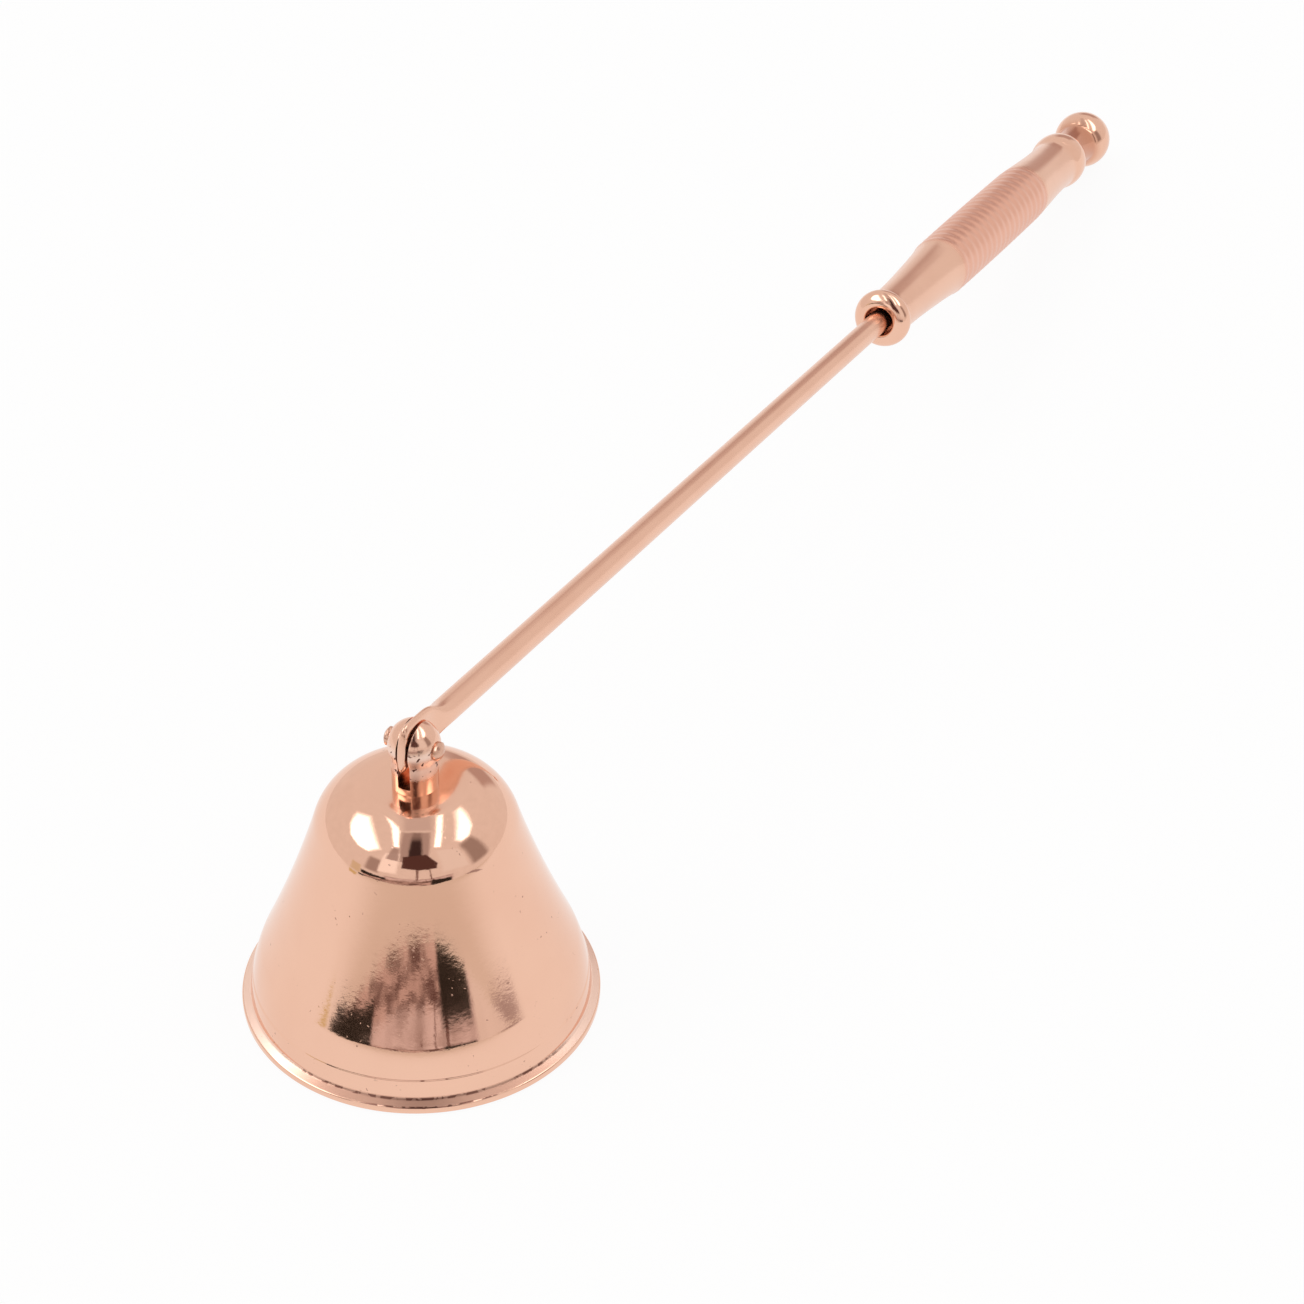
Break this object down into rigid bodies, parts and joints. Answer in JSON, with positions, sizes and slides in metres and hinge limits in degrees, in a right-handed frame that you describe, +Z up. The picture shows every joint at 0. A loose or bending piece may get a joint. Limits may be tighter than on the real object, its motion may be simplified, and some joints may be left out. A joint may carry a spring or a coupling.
{
  "type": "candle snuffer",
  "caption": "Candle snuffer with a small flared bell hinged to a long straight rod, and a turned handle with a ringed grip and a ball end.",
  "frame": {"origin": "centre of the bell's mouth, on the surface that the bell stands on", "axes": "+Z up the bell's axis, +X towards the handle with the rod in the XZ plane, +Y to the left when looking from the bell towards the handle"},
  "size_m": [0.1908, 0.032, 0.0309],
  "materials": {
    "polished_rose_gold": "polished rose-gold plating with soft casting waviness",
    "satin_rose_gold": "satin rose-gold plating",
    "plated_steel": "plain plated steel"
  },
  "bodies": {
    "bell_group": {"bell": "polished_rose_gold", "yoke": "polished_rose_gold", "washer": "plated_steel", "nut": "plated_steel", "pivot_pin": "polished_rose_gold"},
    "rod_group": {"rod": "polished_rose_gold", "handle": "satin_rose_gold"}
  },
  "joints": [
    {"name": "bell_hinge", "type": "hinge", "parent": "bell_group", "child": "rod_group", "pos_m": [0, 0, 0.028], "axis": [0, -1, 0], "range_deg": [-24.7, 212.6]}
  ]
}
